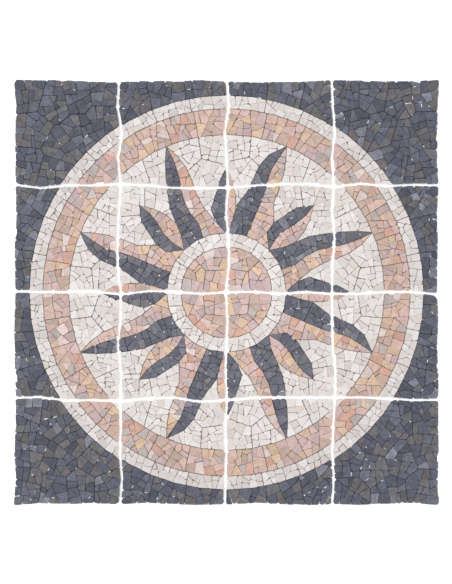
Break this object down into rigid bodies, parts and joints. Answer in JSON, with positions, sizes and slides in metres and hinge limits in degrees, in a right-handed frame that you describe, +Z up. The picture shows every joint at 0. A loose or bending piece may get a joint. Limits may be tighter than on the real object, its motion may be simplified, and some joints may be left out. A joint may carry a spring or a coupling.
{
  "type": "mosaic panel",
  "caption": "Square sun rosette of broken marble and slate on net-backed mats laid side by side, with a flame star in the middle of cream and rose rings.",
  "frame": {"origin": "under the centre of the panel, on the surface that the mats lie on", "axes": "+X to the right and +Y to the far side of the design, +Z up out of the stones' faces"},
  "size_m": [1.234, 1.234, 0.0091],
  "materials": {
    "stones": "matte",
    "slate": "matte",
    "cream_marble": "matte",
    "rose_marble": "matte",
    "net": "matte"
  },
  "bodies": {
    "root": {"mat_A1_stones": "stones", "mat_A1_net": "net", "mat_A2_stones": "stones", "mat_A2_net": "net", "mat_A3_stones": "stones", "mat_A3_net": "net", "mat_A4_stones": "stones", "mat_A4_net": "net", "mat_B1_stones": "stones", "mat_B1_net": "net", "mat_B2_stones": "stones", "mat_B2_net": "net", "mat_B3_stones": "stones", "mat_B3_net": "net", "mat_B4_stones": "stones", "mat_B4_net": "net", "mat_C1_stones": "stones", "mat_C1_net": "net", "mat_C2_stones": "stones", "mat_C2_net": "net", "mat_C3_stones": "stones", "mat_C3_net": "net", "mat_C4_stones": "stones", "mat_C4_net": "net", "mat_D1_stones": "stones", "mat_D1_net": "net", "mat_D2_stones": "stones", "mat_D2_net": "net", "mat_D3_stones": "stones", "mat_D3_net": "net", "mat_D4_stones": "stones", "mat_D4_net": "net"}
  },
  "joints": []
}
